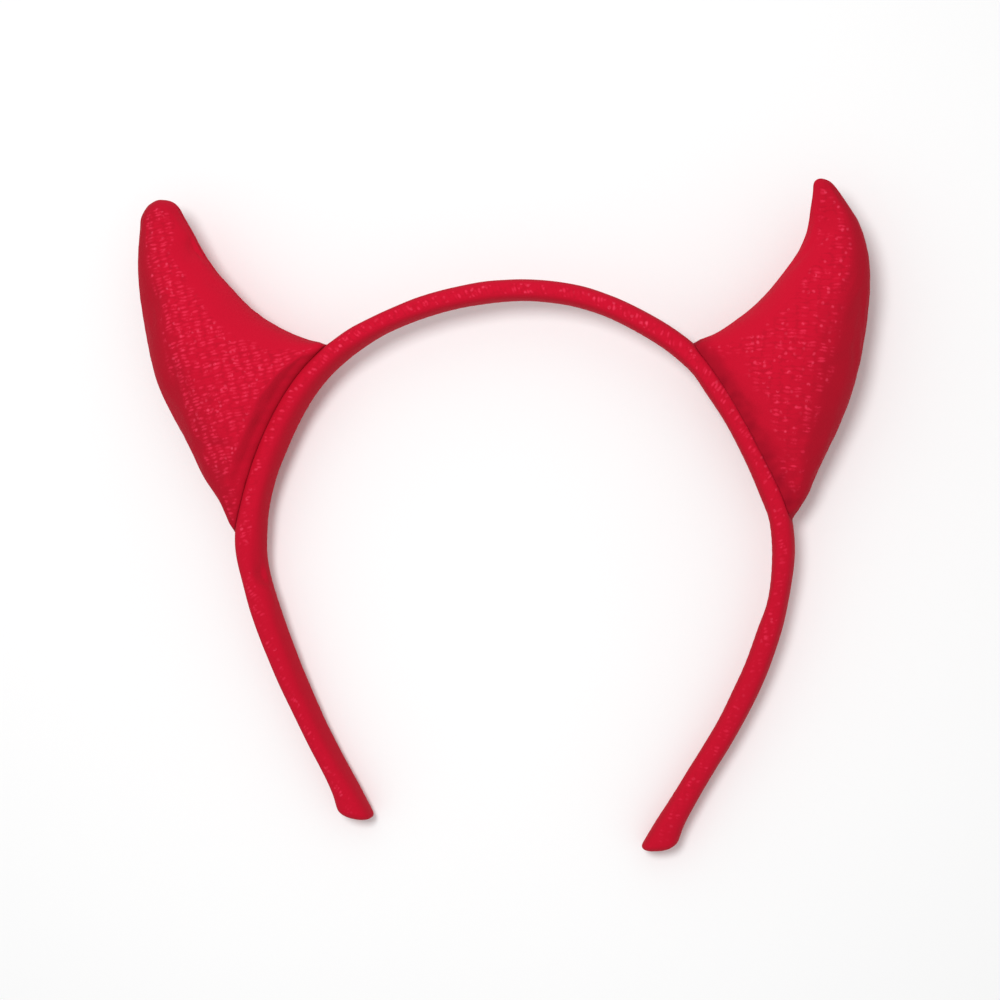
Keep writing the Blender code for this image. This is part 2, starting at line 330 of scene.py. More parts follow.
class Workbench:
    """Adds nodes to one material, and links them."""

    def __init__(self, name: str) -> None:
        """Starts a material with only its Principled shader and output."""
        self.material = bpy.data.materials.new(name)
        self.material.use_nodes = True
        self.tree = self.material.node_tree
        self.shader = self.tree.nodes["Principled BSDF"]

    def add(self, kind: str, **values: object) -> bpy.types.Node:
        """A new node.

        Args:
            kind: The node's type without its ShaderNode prefix.
            **values: The node's own properties.

        Returns:
            The node.
        """
        node = self.tree.nodes.new("ShaderNode" + kind)
        for name, value in values.items():
            setattr(node, name, value)
        return node

    def link(self, source: bpy.types.NodeSocket, target: bpy.types.NodeSocket) -> None:
        """Links an output to an input."""
        self.tree.links.new(source, target)

    def math(
        self, operation: str, first: Value, second: Value, clamp: bool = False
    ) -> bpy.types.NodeSocket:
        """Adds a Math node.

        Args:
            operation: What the node does.
            first: A socket or a number.
            second: A socket or a number.
            clamp: Whether the result is kept from 0 to 1.

        Returns:
            The node's output.
        """
        node = self.add("Math", operation=operation, use_clamp=clamp)
        for socket, value in zip(node.inputs, (first, second)):
            if isinstance(value, (int, float)):
                socket.default_value = value
            else:
                self.link(value, socket)
        return node.outputs[0]

    def between(self, value: bpy.types.NodeSocket, start: float, end: float) -> bpy.types.NodeSocket:
        """Adds a smooth step of a value.

        Args:
            value: The value.
            start: Where the step is 0.
            end: Where the step is 1, which may be below the start.

        Returns:
            The step's output.
        """
        node = self.add("MapRange", interpolation_type="SMOOTHSTEP")
        low, high = min(start, end), max(start, end)
        node.inputs["From Min"].default_value = low
        node.inputs["From Max"].default_value = high
        node.inputs["To Min"].default_value = float(start > end)
        node.inputs["To Max"].default_value = float(start < end)
        self.link(value, node.inputs["Value"])
        return node.outputs["Result"]

    def blend(self, share: bpy.types.NodeSocket, first: Tone, second: Tone) -> bpy.types.NodeSocket:
        """Adds a mix of two colours.

        Args:
            share: How much of the second colour there is.
            first: A colour or a socket.
            second: A colour or a socket.

        Returns:
            The mixed colour's output.
        """
        node = self.add("Mix", data_type="RGBA")
        self.link(share, node.inputs[0])
        for socket, value in zip((node.inputs[6], node.inputs[7]), (first, second)):
            if isinstance(value, tuple):
                socket.default_value = (*value, 1.0)
            else:
                self.link(value, socket)
        return node.outputs[2]

    def noise(self, place: bpy.types.NodeSocket, size: float, detail: float) -> bpy.types.NodeSocket:
        """Adds noise.

        Args:
            place: The coordinates, in metres.
            size: About how large the noise's features are.
            detail: How many finer layers the noise has.

        Returns:
            The noise's output, about 0.5 on average.
        """
        node = self.add("TexNoise")
        node.inputs["Scale"].default_value = 1 / size
        node.inputs["Detail"].default_value = detail
        self.link(place, node.inputs["Vector"])
        return node.outputs["Fac"]

    def mark(self, mark: Mark) -> bpy.types.NodeSocket:
        """The value painted on the vertices."""
        return self.add("Attribute", attribute_name=mark.value).outputs["Fac"]

    def warp(self, place: bpy.types.NodeSocket, size: float, reach: float) -> bpy.types.NodeSocket:
        """Moves coordinates about by smooth noise.

        Args:
            place: The coordinates, in metres.
            size: About how large the noise's features are.
            reach: Twice the furthest that a place is moved each way.

        Returns:
            The moved coordinates.
        """
        wave = self.add("TexNoise")
        wave.inputs["Scale"].default_value = 1 / size
        wave.inputs["Detail"].default_value = 1.0
        self.link(place, wave.inputs["Vector"])
        moved = self.add("VectorMath", operation="MULTIPLY_ADD")
        self.link(wave.outputs["Color"], moved.inputs[0])
        moved.inputs[1].default_value = (reach, reach, 0.0)
        self.link(place, moved.inputs[2])
        return moved.outputs["Vector"]

    def raise_by(
        self, height: bpy.types.NodeSocket, distance: float, under: bpy.types.NodeSocket | None = None
    ) -> bpy.types.NodeSocket:
        """Bends the surface's normal by a height.

        Args:
            height: The height, from 0 to 1.
            distance: How high 1 is.
            under: An already bent normal, if there is one.

        Returns:
            The bent normal's output.
        """
        node = self.add("Bump")
        node.inputs["Distance"].default_value = distance
        self.link(height, node.inputs["Height"])
        if under is not None:
            self.link(under, node.inputs["Normal"])
        return node.outputs["Normal"]


@dataclass(frozen=True)
class Velour:
    """Stretch velour: a short pile in painted light and shade, with painted glints on rows of loops.

    Attributes:
        name: The material's name.
        shaded: The pile's colour in painted shade, and the dark end of its random tone.
        lit: The pile's colour in painted light, and the bright end of its random tone.
        glint: The painted glint's colour, on a row's shiny dash.
        spark: The painted sparkle's colour, on the brightest loops.
        crease_shade: The colour of the painted shade down in a crease, a seam or the valley where pieces
            meet.
        row_pitch: The distance from one row of dashes to the next.
        dash_length: The length of a dash along its row.
        spark_pitch: The distance between the places that may hold a spark.
        fleck: The size of the breaks in the dashes.
        grain: The size of the pile's tufts.
        patch: The size of the areas where the rows show more or less.
        row_turn_deg: How far the rows are turned on the cloth.
        bare_dashes: The share of the places for a dash that hold none.
        bare_sparks: The share of the places for a spark that hold none.
        by_uv: Whether the rows follow the piece's UV map, or else the flat cloth seen from the front.
        dash_weight: How much of the painted glint's colour a dash gets.
        spark_weight: How much of the painted sparkle's colour a spark gets.
        gap_weight: How much painted shade darkens the gaps between the loops.
        grain_height: How far the tufts stand up.
        loop_height: How far the shiny loops stand up.
        roughness: The pile's roughness.
        shine: How much less rough a spark is.
        specular: The pile's specular level.
        sheen: The pile's sheen.
    """

    name: str
    shaded: Colour = (0.42, 0.006, 0.020)
    lit: Colour = (0.60, 0.006, 0.028)
    glint: Colour = (0.88, 0.034, 0.092)
    spark: Colour = (0.95, 0.070, 0.150)
    crease_shade: Colour = (0.26, 0.003, 0.013)
    row_pitch: float = 0.95 * MM
    dash_length: float = 2.6 * MM
    spark_pitch: float = 1.2 * MM
    fleck: float = 0.9 * MM
    grain: float = 0.42 * MM
    patch: float = 7.0 * MM
    row_turn_deg: float = 0.0
    bare_dashes: float = 0.05
    bare_sparks: float = 0.80
    by_uv: bool = False
    dash_weight: float = 0.56
    spark_weight: float = 0.50
    gap_weight: float = 0.45
    grain_height: float = 0.045 * MM
    loop_height: float = 0.06 * MM
    roughness: float = 0.85
    shine: float = 0.25
    specular: float = 0.15
    sheen: float = 0.06

    def made(self) -> bpy.types.Material:
        """Makes the velour's material.

        Returns:
            The material.
        """
        bench = Workbench(self.name)
        coordinates = bench.add("TexCoord")
        place = coordinates.outputs["Object"]
        patches = bench.noise(place, self.patch, 3.0)
        # Where the painted glints show, broken up by patches and flecks.
        glint_zone = bench.mark(Mark.GLINT_ZONE)
        uneven = bench.math("ADD", glint_zone, bench.math("MULTIPLY", patches, 0.9))
        broken = bench.between(bench.noise(place, self.fleck, 2.0), 0.32, 0.56)
        shown = bench.math("MULTIPLY", bench.between(uneven, 0.75, 1.25), broken)
        rows = self._rows(bench, coordinates)
        dash_cells = self._sized(bench, rows, self.dash_length, self.row_pitch)
        spark_cells = self._sized(bench, rows, self.spark_pitch, self.spark_pitch)
        dash, gap = self._loops(bench, dash_cells, self.bare_dashes)
        spark, _ = self._loops(bench, spark_cells, self.bare_sparks)
        dashes = bench.math("MULTIPLY", dash, shown)
        sparks = bench.math("MULTIPLY", spark, shown)
        grain = bench.noise(place, self.grain, 2.0)
        # Painted light and shade from the painted mark, with random tone from the grain and the patches.
        tone = bench.math("ADD", bench.math("MULTIPLY", grain, 0.30), bench.math("MULTIPLY", patches, 0.30))
        tone = bench.math("ADD", bench.math("SUBTRACT", tone, 0.30), bench.mark(Mark.PAINTED_LIGHT), clamp=True)
        colour = bench.blend(tone, self.shaded, self.lit)
        # Painted shade in the gaps between the loops, and painted glints on the dashes and sparks.
        gaps = bench.math("MULTIPLY", gap, shown)
        colour = bench.blend(bench.math("MULTIPLY", gaps, self.gap_weight), colour, self.shaded)
        colour = bench.blend(bench.math("MULTIPLY", dashes, self.dash_weight), colour, self.glint)
        colour = bench.blend(bench.math("MULTIPLY", sparks, self.spark_weight), colour, self.spark)
        # Painted shade in seams, creases and the valleys at the joints.
        colour = bench.blend(bench.mark(Mark.CREASE), colour, self.crease_shade)
        bench.link(colour, bench.shader.inputs["Base Color"])
        shine = bench.math("MULTIPLY", sparks, self.shine)
        roughness = bench.math("SUBTRACT", self.roughness, shine)
        bench.link(roughness, bench.shader.inputs["Roughness"])
        normal = bench.raise_by(grain, self.grain_height)
        normal = bench.raise_by(bench.math("MAXIMUM", dashes, sparks), self.loop_height, normal)
        bench.link(normal, bench.shader.inputs["Normal"])
        bench.shader.inputs["Specular IOR Level"].default_value = self.specular
        bench.shader.inputs["Specular Tint"].default_value = (1.0, 0.30, 0.38, 1.0)
        bench.shader.inputs["Sheen Weight"].default_value = self.sheen
        bench.shader.inputs["Sheen Roughness"].default_value = 0.40
        bench.shader.inputs["Sheen Tint"].default_value = (1.0, 0.16, 0.24, 1.0)
        return bench.material

    def _rows(self, bench: Workbench, coordinates: bpy.types.Node) -> bpy.types.NodeSocket:
        """Lays the rows, a little wavy as knitted rows are.

        Args:
            bench: The material's workbench.
            coordinates: The Texture Coordinate node.

        Returns:
            Coordinates in metres, with x along the rows.
        """
        turned = bench.add("Mapping")
        turned.inputs["Rotation"].default_value = (0.0, 0.0, math.radians(-self.row_turn_deg))
        source = coordinates.outputs["UV"] if self.by_uv else coordinates.outputs["Object"]
        bench.link(source, turned.inputs["Vector"])
        wavy = bench.warp(turned.outputs["Vector"], 5.0 * MM, 1.4 * MM)
        return bench.warp(wavy, 0.8 * MM, 0.22 * MM)

    def _sized(
        self, bench: Workbench, place: bpy.types.NodeSocket, length: float, width: float
    ) -> bpy.types.NodeSocket:
        """Scales coordinates so that a loop's place is one unit each way.

        Args:
            bench: The material's workbench.
            place: Coordinates in metres.
            length: The loop's place along its row.
            width: The loop's place across its row.

        Returns:
            The scaled coordinates.
        """
        sized = bench.add("Mapping")
        sized.inputs["Scale"].default_value = (1 / length, 1 / width, 1.0)
        bench.link(place, sized.inputs["Vector"])
        return sized.outputs["Vector"]

    def _loops(
        self, bench: Workbench, place: bpy.types.NodeSocket, bare: float
    ) -> tuple[bpy.types.NodeSocket, bpy.types.NodeSocket]:
        """Shiny loops, one in each cell that chance picks.

        Args:
            bench: The material's workbench.
            place: Coordinates in which a cell is about one unit each way.
            bare: The share of the cells that hold no loop.

        Returns:
            A socket that is 1 on a bright loop, and one that is 1 in the gaps between the cells' middles.
        """
        cells = bench.add("TexVoronoi", voronoi_dimensions="2D", feature="F1")
        cells.inputs["Scale"].default_value = 1.0
        cells.inputs["Randomness"].default_value = 0.45
        bench.link(place, cells.inputs["Vector"])
        distance = cells.outputs["Distance"]
        chance = bench.add("SeparateColor")
        bench.link(cells.outputs["Color"], chance.inputs["Color"])
        picked = bench.between(chance.outputs["Red"], bare, min(bare + 0.5, 1.0))
        loop = bench.math("MULTIPLY", bench.between(distance, 0.44, 0.16), picked)
        return loop, bench.between(distance, 0.36, 0.60)


@dataclass(frozen=True)
class Thread:
    """Matching sewing thread."""

    name: str = "crimson_thread"
    colour: Colour = (0.36, 0.006, 0.016)
    twist: float = 0.16 * MM

    def made(self) -> bpy.types.Material:
        """Makes the thread's material, with the bands of its twist.

        Returns:
            The material.
        """
        bench = Workbench(self.name)
        place = bench.add("TexCoord").outputs["Object"]
        strands = bench.add("TexWave", wave_type="BANDS", bands_direction="DIAGONAL")
        strands.inputs["Scale"].default_value = 1 / (self.twist * 20)
        bench.link(place, strands.inputs["Vector"])
        darker = tuple(part * 0.55 for part in self.colour)
        colour = bench.blend(strands.outputs["Fac"], darker, self.colour)
        bench.link(colour, bench.shader.inputs["Base Color"])
        bench.link(bench.raise_by(strands.outputs["Fac"], 0.03 * MM), bench.shader.inputs["Normal"])
        bench.shader.inputs["Roughness"].default_value = 0.55
        bench.shader.inputs["Specular IOR Level"].default_value = 0.3
        return bench.material


@dataclass(frozen=True)
class PalePaper:
    """The pale ground that the headband lies on."""

    name: str = "pale_ground"
    colour: Colour = (0.96, 0.96, 0.96)

    def made(self) -> bpy.types.Material:
        """Makes the ground's material.

        Returns:
            The material.
        """
        bench = Workbench(self.name)
        place = bench.add("TexCoord").outputs["Object"]
        tone = bench.between(bench.noise(place, 0.25, 2.0), 0.2, 0.8)
        lighter = tuple(min(part * 1.02, 1.0) for part in self.colour)
        bench.link(bench.blend(tone, self.colour, lighter), bench.shader.inputs["Base Color"])
        bench.shader.inputs["Roughness"].default_value = 0.9
        bench.shader.inputs["Specular IOR Level"].default_value = 0.1
        return bench.material


@dataclass(frozen=True)
class Stuffing:
    """How a sewn piece fills out.

    Attributes:
        pressure: The stuffing's pressure.
        most: The furthest that a point may move.
        slack: The share by which the cloth is cut larger than the shape.
        frames: The frames that the filling takes.
        before: The subdivisions before it is filled.
        after: The subdivisions once it is filled.
    """

    pressure: float
    most: float
    slack: float = 0.0
    frames: int = 20
    before: int = 1
    after: int = 2

    def fill(self, obj: bpy.types.Object, held: Array) -> None:
        """Fills the piece by simulated cloth.

        Args:
            obj: The piece.
            held: For each vertex, 1 where a seam holds it and 0 where it is free.
        """
        start = points_of(obj)
        group = obj.vertex_groups.new(name="held")
        for index in np.nonzero(held > 0.01)[0]:
            group.add([int(index)], float(held[index]), "REPLACE")
        cloth = obj.modifiers.new("fill", "CLOTH")
        cloth.settings.quality = 5
        cloth.settings.use_pressure = True
        cloth.settings.uniform_pressure_force = self.pressure
        cloth.settings.vertex_group_mass = group.name
        cloth.settings.shrink_min = -self.slack
        cloth.settings.effector_weights.gravity = 0.0
        cloth.point_cache.frame_start = 1
        cloth.point_cache.frame_end = self.frames
        scene = bpy.context.scene
        for step in range(1, self.frames + 1):
            scene.frame_set(step)
        graph = bpy.context.evaluated_depsgraph_get()
        filled = obj.evaluated_get(graph)
        flat = np.empty(len(start) * 3)
        filled.data.vertices.foreach_get("co", flat)
        obj.modifiers.clear()
        obj.vertex_groups.clear()
        scene.frame_set(1)
        moves = flat.reshape(-1, 3) - start
        lengths = np.linalg.norm(moves, axis=1, keepdims=True)
        moves *= np.minimum(1.0, self.most / np.maximum(lengths, 1e-9))
        mean, most = lengths.mean() / MM, lengths.max() / MM
        LOG.info("%s filled out by %.2f mm, %.2f mm at most", obj.name, mean, most)
        move_to(obj, start + moves)


@dataclass(frozen=True)
class Dimple:
    """A soft dent in the front of a stuffed piece.

    Attributes:
        across: Its place across the hoop's plane.
        up: Its place up the hoop's plane.
        reach: How wide it is, from its middle.
        depth: How deep it is, or less than nought where the cloth stands up.
    """

    across: float
    up: float
    reach: float = 3.0 * MM
    depth: float = 0.8 * MM

    def depth_at(self, flat: Array) -> Array:
        """Works out how far points sink in.

        Args:
            flat: The points, in the plane's coordinates.

        Returns:
            The depth at each point.
        """
        away = np.hypot(flat[:, 0] - self.across, flat[:, 1] - self.up)
        return self.depth * bump(away, self.reach) * ramp(flat[:, 2], 0.0, 2 * MM)


@dataclass
class SewnPiece:
    """A cloth piece that stands for one of the frame's solids.

    Attributes:
        solid: The solid that it stands for.
        slot: The record's material slot; not used.
        finish: Its velour.
        stuffing: How it fills out.
        fill_share: How much of it is stuffing; not used.
        plane: The hoop's plane.
        neighbours: The solids that it is sewn to.
        light_lean: How far the painted light leans across and up, beside 1 to the front.
        light_range: How far the cloth faces the painted light where its painted light starts, and is full.
        glint_range: How far the cloth faces the front where its painted glints start to show, and show in
            full.
        dimples: Its soft dents.
        obj: The finished piece.
    """

    solid: Solid
    slot: Slot
    finish: Velour
    stuffing: Stuffing
    fill_share: float
    plane: HoopPlane
    neighbours: tuple[Solid, ...]
    light_lean: tuple[float, float] = (0.0, 0.0)
    light_range: tuple[float, float] = (0.38, 0.97)
    glint_range: tuple[float, float] = (0.78, 0.98)
    dimples: tuple[Dimple, ...] = ()
    obj: bpy.types.Object = field(init=False)

    def build(self) -> bpy.types.Object:
        """Makes, fills, shapes and dresses the piece.

        Returns:
            The piece.
        """
        self.obj = new_object(f"{self.solid.value}_cloth", self.pattern())
        refine(self.obj, self.stuffing.before)
        self.stuffing.fill(self.obj, self.held(points_of(self.obj)))
        refine(self.obj, self.stuffing.after)
        keep_light(self.obj)
        self.shape()
        self.rest_on_floor()
        self.dress()
        return self.obj

    def pattern(self) -> bmesh.types.BMesh:
        """The mesh that the piece starts from."""
        return self.solid.merged()

    def gaps(self, points: Array) -> Array:
        """Each point's distance to the nearest neighbour's solid."""
        return np.min([gaps_to(points, solid.tree()) for solid in self.neighbours], axis=0)

    def held(self, points: Array) -> Array:
        """How firmly each point is held while the piece is filled, from 0 to 1."""
        return 1 - ramp(self.gaps(points), 0.8 * MM, 2.2 * MM)

    def shape(self) -> None:
        """Gives the filled piece its seams and folds."""
        raise NotImplementedError

    def paint_light(self, shown: Array, lit: Array | float = 1.0) -> None:
        """Paints light and shade by how far the cloth faces the painted light, and where the painted glints
        show.

        Args:
            shown: For each vertex, the most that its painted glints and its painted light may show, from 0
                to 1.
            lit: A further share of that for the painted light alone.
        """
        # Painted light and shade from the facing, and the zone of painted glints from facing the front.
        normals = normals_of(self.obj)
        flat = normals @ np.column_stack((self.plane.across, self.plane.up, self.plane.front))
        flat[:, 2] = np.abs(flat[:, 2])
        towards_light = np.array((*self.light_lean, 1.0))
        towards_light /= np.linalg.norm(towards_light)
        paint(self.obj, Mark.PAINTED_LIGHT, ramp(flat @ towards_light, *self.light_range) * shown * lit)
        paint(self.obj, Mark.GLINT_ZONE, ramp(flat[:, 2], *self.glint_range) * shown)

    def rest_on_floor(self) -> None:
        """Flattens the cloth that would reach below the floor."""
        points = points_of(self.obj)
        points[:, 2] = np.maximum(points[:, 2], 0.0)
        move_to(self.obj, points)

    def dress(self) -> None:
        """Gives the piece its finish, and says what it is."""
        self.obj.data.materials.clear()
        self.obj.data.materials.append(self.finish.made())
        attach(self.obj, "root")
        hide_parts(self.solid.value)


@dataclass
class StuffedHorn(SewnPiece):
    """A horn of two shaped panels, sewn round its outline and stuffed."""

    seam_depth: float = 0.26 * MM
    seam_reach: float = 0.42 * MM
    welt_height: float = 0.10 * MM
    welt_offset: float = 1.0 * MM
    pucker_size: float = 2.4 * MM
    lump_size: float = 12.0 * MM
    lump_height: float = 0.18 * MM
    gather_pitch: float = 3.4 * MM
    gather_reach: float = 2.6 * MM
    gather_height: float = 0.10 * MM
    joint_gap: float = 0.06 * MM
    joint_near: float = 0.45 * MM
    joint_reach: float = 2.0 * MM
    # The outline seam's line and the valley where the horn meets the band get painted shade.
    seam_shade: float = 0.55
    valley: float = 1.2 * MM
    valley_shade: float = 0.55
    # Painted shade darkens the horn's foot and tip, whose heights are those in the hoop's plane.
    foot_range: tuple[float, float] = (-5 * MM, 30 * MM)
    tip_range: tuple[float, float] = (65 * MM, 95 * MM)
    end_shade: float = 0.6
    lap: float = 0.0
    shoulder: float = 0.0
    shoulder_offset: float = 1.5 * MM
    shoulder_reach: float = 1.2 * MM
    band_cloth: BVHTree | None = None

    def pattern(self) -> bmesh.types.BMesh:
        """Keeps the horn's sewn edge sharp.

        Returns:
            The horn's mesh.
        """
        mesh = super().pattern()
        sharpness = mesh.edges.layers.float.new("crease_edge")
        for edge in seat_edges(mesh):
            edge[sharpness] = 1.0
        return mesh

    def held(self, points: Array) -> Array:
        """Holds the panels at the outline seam and the sewn base."""
        from_seam = np.abs(self.plane.flat(points)[:, 2])
        return np.maximum(super().held(points), 1 - ramp(from_seam, 0.8 * MM, 3.0 * MM))

    def shape(self) -> None:
        """Gives the horn its outline seam, its uneven stuffing and the gathers at its base."""
        points = points_of(self.obj)
        normals = normals_of(self.obj)
        flat = self.plane.flat(points)
        gap = self.gaps(points)
        free = ramp(gap, 0.6 * MM, 2.0 * MM)
        from_seam = np.abs(flat[:, 2])
        pucker = rough(points, self.pucker_size)
        groove = bump(from_seam, self.seam_reach) * free
        welt = bump(from_seam - self.welt_offset, self.seam_reach * 1.5) * free
        move = -self.seam_depth * groove * (1 + 0.5 * pucker)
        move += self.welt_height * welt * (1 + 0.9 * pucker)
        lumps = self.lump_height * rough(points, self.lump_size, 3.7)
        move += lumps * free * ramp(from_seam, 1 * MM, 5 * MM)
        along_base = self._along_base(flat)
        waves = np.sin(2 * math.pi * along_base / self.gather_pitch + 2.2 * rough(points, 6 * MM, 9.1))
        sewn = bump(gap, self.gather_reach) * free
        move += self.gather_height * waves * sewn * ramp(from_seam, 1.5 * MM, 3.5 * MM)
        rim = bump(gap - self.shoulder_offset, self.shoulder_reach)
        move += self.shoulder * rim * ramp(from_seam, 1.0 * MM, 4.0 * MM)
        for dimple in self.dimples:
            move -= dimple.depth_at(flat)
        points += normals * move[:, None]
        move_to(self.obj, self._snug(self._lapped(points, from_seam, gap)))
        # Painted shade along the outline seam and in the valley at the band, broken up by noise.
        shade_breakup = 0.75 + 0.8 * rough(points, 1.8 * MM, 6.4)
        joint_painted_shade = np.clip(self.valley_shade * bump(gap, self.valley) * shade_breakup, 0.0, 1.0)
        seam = self.seam_shade * bump(from_seam, SEAM_LINE) * free
        paint(self.obj, Mark.CREASE, np.maximum(seam, joint_painted_shade))
        # Less painted light and fewer painted glints by the joint, and painted shade at the foot and tip.
        middle = ramp(flat[:, 1], *self.foot_range) * (1 - ramp(flat[:, 1], *self.tip_range))
        self.paint_light(ramp(gap, 0.1 * MM, self.valley * 1.6), 1 - self.end_shade * (1 - middle))

    def _lapped(self, points: Array, from_seam: Array, gap: Array) -> Array:
        """Laps the horn's sewn edge a little further over the band's front and back.

        Args:
            points: The horn's vertices.
            from_seam: For each vertex, its distance from the hoop's plane.
            gap: For each vertex, its distance from the band.

        Returns:
            The vertices, those by the band moved over it.
        """
        moved = points.copy()
        shares = self.lap * bump(gap, 1.3 * MM) * ramp(from_seam, 2.0 * MM, 3.6 * MM)
        for index in np.nonzero(shares > 0.01 * MM)[0]:
            outward = np.array(self.band_cloth.find_nearest(Vector(points[index]))[1])
            towards = self.plane.front * np.sign(points[index] @ self.plane.front - self.plane.middle)
            over = towards - outward * (towards @ outward)
            moved[index] += over / max(np.linalg.norm(over), 0.2) * shares[index]
        return moved

    def _snug(self, points: Array) -> Array:
        """Draws the horn's sewn edge and underside close to the band's finished cloth.

        Args:
            points: The horn's vertices.

        Returns:
            The vertices, those near the band moved to it until the joint's gap is left.
        """
        moved = points.copy()
        for index, point in enumerate(points):
            surface, outward, _, distance = self.band_cloth.find_nearest(Vector(point))
            if distance > self.joint_reach:
                continue
            away = float((Vector(point) - surface).dot(outward))
            share = 1 - ramp(np.array(away), self.joint_near, self.joint_reach)
            moved[index] -= np.array(outward) * (min(away, self.joint_near) - self.joint_gap) * share
        return moved

    def _along_base(self, flat: Array) -> Array:
        """Measures along the horn's base.

        Args:
            flat: The horn's vertices, in the plane's coordinates.

        Returns:
            Each vertex's distance along the base, from its middle.
        """
        mesh = self.solid.merged()
        solid_points = np.array([vertex.co for vertex in mesh.verts])
        mesh.free()
        sewn = self.plane.flat(solid_points[self.gaps(solid_points) < SEAT_REACH])[:, :2]
        middle = sewn.mean(axis=0)
        direction = np.linalg.svd(sewn - middle, full_matrices=False)[2][0]
        return (flat[:, :2] - middle) @ direction


@dataclass
class PaddedBand(SewnPiece):
    """The sprung hoop's padded sleeve, sewn lengthwise along its back and closed at both ends."""

    bins: int = 150
    seam_radius: float = 4.0 * MM
    cloth_radius: float = 4.3 * MM
    seam_depth: float = 0.32 * MM
    seam_reach: float = 0.45 * MM
    welt_height: float = 0.10 * MM
    welt_offset: float = 1.0 * MM
    ripple_pitch: float = 2.3 * MM
    ripple_height: float = 0.03 * MM
    lump_size: float = 8.0 * MM
    lump_height: float = 0.12 * MM
    # Painted shade in the valleys by the horns and along the seam.
    left_valley: float = 0.5 * MM
    right_valley: float = 1.2 * MM
    seam_shade: float = 0.6
    joint_shade: float = 0.35
    # The legs get painted shade: less painted light and fewer painted glints low down.
    leg_low: float = -30 * MM
    leg_high: float = 60 * MM
    leg_light: float = 0.60

    def build(self) -> bpy.types.Object:
        """Makes the sleeve on the hoop's centre line.

        Returns:
            The sleeve.
        """
        self.line = self._centre_line()
        return super().build()

    def _centre_line(self) -> Array:
        """Finds the hoop's centre line, from the left leg's end to the right leg's.

        Returns:
            Points in the hoop's plane, as rows of across and up.
        """
        flat = self.plane.flat(Solid.BAND.points())[:, :2]
        centre = (flat.min(axis=0) + flat.max(axis=0)) / 2
        turns = np.arctan2(flat[:, 0] - centre[0], flat[:, 1] - centre[1])
        steps = np.linspace(turns.min(), turns.max(), self.bins + 1)
        width = 1.6 * (steps[1] - steps[0])
        rows = []
        for turn in steps[1:-1]:
            share = bump(turns - turn, width)
            rows.append((flat * share[:, None]).sum(axis=0) / share.sum())
        line = np.array(rows)
        for _ in range(4):
            line[1:-1] = (line[:-2] + 2 * line[1:-1] + line[2:]) / 4
        return line

    def on_sleeve(self, flat: Array) -> tuple[Array, Array]:
        """Where each point lies on the sleeve.

        Args:
            flat: Points in the hoop's plane coordinates.

        Returns:
            The distance along the hoop, and the angle round the sleeve: 0 at its outer edge, and a
            quarter turn at its front.
        """
        starts = self.line[:-1]
        runs = np.diff(self.line, axis=0)
        lengths = np.hypot(runs[:, 0], runs[:, 1])
        travelled = np.concatenate(([0.0], np.cumsum(lengths)[:-1]))
        along = np.empty(len(flat))
        out = np.empty(len(flat))
        best = np.full(len(flat), np.inf)
        for start, run, length, before in zip(starts, runs, lengths, travelled):
            offset = flat[:, :2] - start
            share = np.clip(offset @ run / length**2, 0.0, 1.0)
            away = offset - share[:, None] * run
            distance = np.hypot(away[:, 0], away[:, 1])
            nearer = distance < best
            side = (run[0] * away[:, 1] - run[1] * away[:, 0]) / length
            best = np.where(nearer, distance, best)
            along = np.where(nearer, before + share * length, along)
            out = np.where(nearer, side, out)
        return along, np.arctan2(flat[:, 2], out)

    def shape(self) -> None:
        """Gives the sleeve its seam, its ripples inside the bend and its uneven padding."""
        points = points_of(self.obj)
        normals = normals_of(self.obj)
        flat = self.plane.flat(points)
        along, angle = self.on_sleeve(flat)
        gap = self.gaps(points)
        free = ramp(gap, 0.5 * MM, 1.5 * MM)
        off_seam = np.abs(angle + math.pi / 2) * self.seam_radius
        pucker = rough(points, 2.2 * MM)
        move = -self.seam_depth * bump(off_seam, self.seam_reach) * (1 + 0.4 * pucker)
        move += self.welt_height * bump(off_seam - self.welt_offset, self.seam_reach) * (1 + 0.9 * pucker)
        inner = ramp(-np.cos(angle), 0.0, 0.9)
        waves = np.sin(2 * math.pi * along / self.ripple_pitch + 2.5 * rough(points, 7 * MM, 5.3))
        move += self.ripple_height * waves * inner * (0.6 + 0.6 * rough(points, 14 * MM, 8.8))
        move += self.lump_height * rough(points, self.lump_size, 2.1) * free
        for dimple in self.dimples:
            move -= dimple.depth_at(flat)
        move_to(self.obj, points + normals * (move * free)[:, None])
        # Painted shade along the seam and in the valleys where the horns meet the sleeve.
        valley = np.where(flat[:, 0] > 0, self.right_valley, self.left_valley)
        seam = self.seam_shade * bump(off_seam, SEAM_LINE)
        paint(self.obj, Mark.CREASE, np.maximum(seam, self.joint_shade * bump(gap, valley)))
        # Painted shade on the legs: less painted light and fewer painted glints lower down.
        leg = ramp(flat[:, 1], self.leg_low, self.leg_high)
        self.paint_light(self.leg_light + (1 - self.leg_light) * leg)
        self._map_cloth(along, angle)

    def _map_cloth(self, along: Array, angle: Array) -> None:
        """Unrolls the sleeve on to its UV map, in metres, with the join at the seam.

        Args:
            along: Each vertex's distance along the hoop.
            angle: Each vertex's angle round the sleeve.
        """
        data = self.obj.data
        corners = np.empty(len(data.loops), int)
        data.loops.foreach_get("vertex_index", corners)
        turned = np.mod(angle + math.pi / 2, 2 * math.pi)[corners]
        first = np.empty(len(data.polygons), int)
        data.polygons.foreach_get("loop_start", first)
        count = np.diff(np.append(first, len(corners)))
        lead = np.repeat(turned[first], count)
        turned = turned + 2 * math.pi * np.round((lead - turned) / (2 * math.pi))
        layer = data.uv_layers.new(name="cloth")
        layer.data.foreach_set("uv", np.column_stack((along[corners], turned * self.cloth_radius)).ravel())


